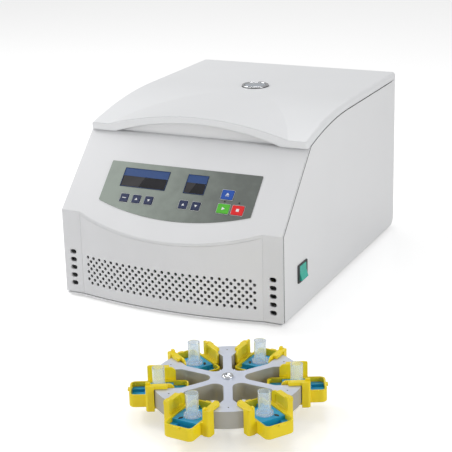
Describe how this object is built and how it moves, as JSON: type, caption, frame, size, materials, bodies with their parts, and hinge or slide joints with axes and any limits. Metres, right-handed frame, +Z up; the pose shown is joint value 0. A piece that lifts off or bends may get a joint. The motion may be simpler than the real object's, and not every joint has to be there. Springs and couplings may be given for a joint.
{
  "type": "cytocentrifuge",
  "caption": "Bench cytocentrifuge: white cabinet with sloped key panel, hinged lid and drive chamber, and its open rotor of swinging slide carriers with funnels standing in front.",
  "frame": {"origin": "on the bench, at the middle of the footprint of the whole set: cabinet and the rotor that stands in front of it", "axes": "+Z up, -Y towards the front with the keys, +X to the right as seen from the front; the drive shaft points along +Z"},
  "size_m": [0.5834, 1.01, 0.3125],
  "materials": {
    "casing": "white enamel",
    "front_moulding": "white, light gloss",
    "overlay": "grey-green printed film",
    "display": "dark window",
    "navy_key": "satin",
    "open_key": "satin",
    "start_key": "satin",
    "stop_key": "satin",
    "board": "circuit board",
    "rocker": "gloss",
    "switch_frame": "satin",
    "inlet": "satin",
    "rubber": "matt",
    "bowl_steel": "stainless",
    "shaft_steel": "ground",
    "motor": "black enamel",
    "hardware": "bright",
    "lid_lining": "satin",
    "sight": "clear",
    "latch": "zinc",
    "rotor_metal": "anodised satin",
    "carrier": "yellow satin",
    "holder": "blue satin",
    "tube": "clear plastic and glass"
  },
  "bodies": {
    "cabinet": {"base_tray": "casing", "side_panel_left": "casing", "side_panel_right": "casing", "rear_panel": "casing", "front_panel": "front_moulding", "lower_fascia": "casing", "top_deck": "casing", "control_overlay": "overlay", "display_windows": "display", "control_board": "board", "power_board": "board", "switch_housing": "switch_frame", "mains_inlet": "inlet", "rubber_feet": "rubber", "chamber_bowl": "bowl_steel", "chamber_seal": "rubber", "motor_housing": "motor", "motor_dampers": "rubber", "hinge_brackets": "hardware", "hinge_pins": "hardware", "latch_unit": "latch", "rear_screws": "hardware"},
    "lid": {"lid_shell": "casing", "lid_liner": "lid_lining", "sight_glass": "sight", "lid_striker": "latch", "lid_knuckles": "hardware"},
    "drive": {"drive_shaft": "shaft_steel"},
    "rocker": {"power_rocker": "rocker"},
    "hook": {"latch_hook": "latch"},
    "rotor": {"rotor_disc": "rotor_metal", "rotor_hub": "rotor_metal", "rotor_nut": "hardware", "trunnion_pins": "shaft_steel"},
    "set_button": {"set_key": "navy_key"},
    "speed_up_button": {"speed_up_key": "navy_key"},
    "speed_down_button": {"speed_down_key": "navy_key"},
    "time_up_button": {"time_up_key": "navy_key"},
    "time_down_button": {"time_down_key": "navy_key"},
    "open_button": {"open_key": "open_key"},
    "start_button": {"start_key": "start_key"},
    "stop_button": {"stop_key": "stop_key"},
    "carrier_1": {"slide_carrier_1": "carrier", "slide_holder_1": "holder", "sample_tube_1": "tube"},
    "carrier_2": {"slide_carrier_2": "carrier", "slide_holder_2": "holder", "sample_tube_2": "tube"},
    "carrier_3": {"slide_carrier_3": "carrier", "slide_holder_3": "holder", "sample_tube_3": "tube"},
    "carrier_4": {"slide_carrier_4": "carrier", "slide_holder_4": "holder", "sample_tube_4": "tube"},
    "carrier_5": {"slide_carrier_5": "carrier", "slide_holder_5": "holder", "sample_tube_5": "tube"},
    "carrier_6": {"slide_carrier_6": "carrier", "slide_holder_6": "holder", "sample_tube_6": "tube"}
  },
  "joints": [
    {"name": "lid_hinge", "type": "hinge", "parent": "cabinet", "child": "lid", "pos_m": [-0.08668, 0.49946, 0.2945], "axis": [-1, 0, 0], "range_deg": [0, 75]},
    {"name": "drive_turn", "type": "hinge", "parent": "cabinet", "child": "drive", "pos_m": [-0.08668, 0.29346, 0.1725], "axis": [0, 0, 1], "continuous": true},
    {"name": "rocker_tilt", "type": "hinge", "parent": "cabinet", "child": "rocker", "pos_m": [0.11832, 0.01447, 0.0705], "axis": [0, 1, 0], "range_deg": [0, 18]},
    {"name": "hook_swing", "type": "hinge", "parent": "cabinet", "child": "hook", "pos_m": [-0.08668, 0.11646, 0.2425], "axis": [1, 0, 0], "range_deg": [0, 15], "stiffness_Nm_per_rad": 0.05, "springref_deg": -5.73},
    {"name": "rotor_turn", "type": "hinge", "parent": "cabinet", "child": "rotor", "pos_m": [0.16132, -0.36554, 0.02], "axis": [0, 0, 1], "continuous": true},
    {"name": "set_press", "type": "slide", "parent": "cabinet", "child": "set_button", "axis": [0, 0.7071, -0.7071], "range_m": [0, 0.0006], "stiffness_N_per_m": 400, "springref_m": -0.002},
    {"name": "speed_up_press", "type": "slide", "parent": "cabinet", "child": "speed_up_button", "axis": [0, 0.7071, -0.7071], "range_m": [0, 0.0006], "stiffness_N_per_m": 400, "springref_m": -0.002},
    {"name": "speed_down_press", "type": "slide", "parent": "cabinet", "child": "speed_down_button", "axis": [0, 0.7071, -0.7071], "range_m": [0, 0.0006], "stiffness_N_per_m": 400, "springref_m": -0.002},
    {"name": "time_up_press", "type": "slide", "parent": "cabinet", "child": "time_up_button", "axis": [0, 0.7071, -0.7071], "range_m": [0, 0.0006], "stiffness_N_per_m": 400, "springref_m": -0.002},
    {"name": "time_down_press", "type": "slide", "parent": "cabinet", "child": "time_down_button", "axis": [0, 0.7071, -0.7071], "range_m": [0, 0.0006], "stiffness_N_per_m": 400, "springref_m": -0.002},
    {"name": "open_press", "type": "slide", "parent": "cabinet", "child": "open_button", "axis": [0, 0.7071, -0.7071], "range_m": [0, 0.0006], "stiffness_N_per_m": 400, "springref_m": -0.002},
    {"name": "start_press", "type": "slide", "parent": "cabinet", "child": "start_button", "axis": [0, 0.7071, -0.7071], "range_m": [0, 0.0006], "stiffness_N_per_m": 400, "springref_m": -0.002},
    {"name": "stop_press", "type": "slide", "parent": "cabinet", "child": "stop_button", "axis": [0, 0.7071, -0.7071], "range_m": [0, 0.0006], "stiffness_N_per_m": 400, "springref_m": -0.002},
    {"name": "carrier_swing_1", "type": "hinge", "parent": "rotor", "child": "carrier_1", "pos_m": [0.22549, -0.40898, 0.0475], "axis": [-0.5606, -0.8281, 0], "range_deg": [0, 90]},
    {"name": "carrier_swing_2", "type": "hinge", "parent": "rotor", "child": "carrier_2", "pos_m": [0.23103, -0.33168, 0.0475], "axis": [0.4368, -0.8996, 0], "range_deg": [0, 90]},
    {"name": "carrier_swing_3", "type": "hinge", "parent": "rotor", "child": "carrier_3", "pos_m": [0.16686, -0.28823, 0.0475], "axis": [0.9974, -0.0715, 0], "range_deg": [0, 90]},
    {"name": "carrier_swing_4", "type": "hinge", "parent": "rotor", "child": "carrier_4", "pos_m": [0.09714, -0.32209, 0.0475], "axis": [0.5606, 0.8281, 0], "range_deg": [0, 90]},
    {"name": "carrier_swing_5", "type": "hinge", "parent": "rotor", "child": "carrier_5", "pos_m": [0.0916, -0.39939, 0.0475], "axis": [-0.4368, 0.8996, 0], "range_deg": [0, 90]},
    {"name": "carrier_swing_6", "type": "hinge", "parent": "rotor", "child": "carrier_6", "pos_m": [0.15578, -0.44284, 0.0475], "axis": [-0.9974, 0.0715, 0], "range_deg": [0, 90]}
  ]
}
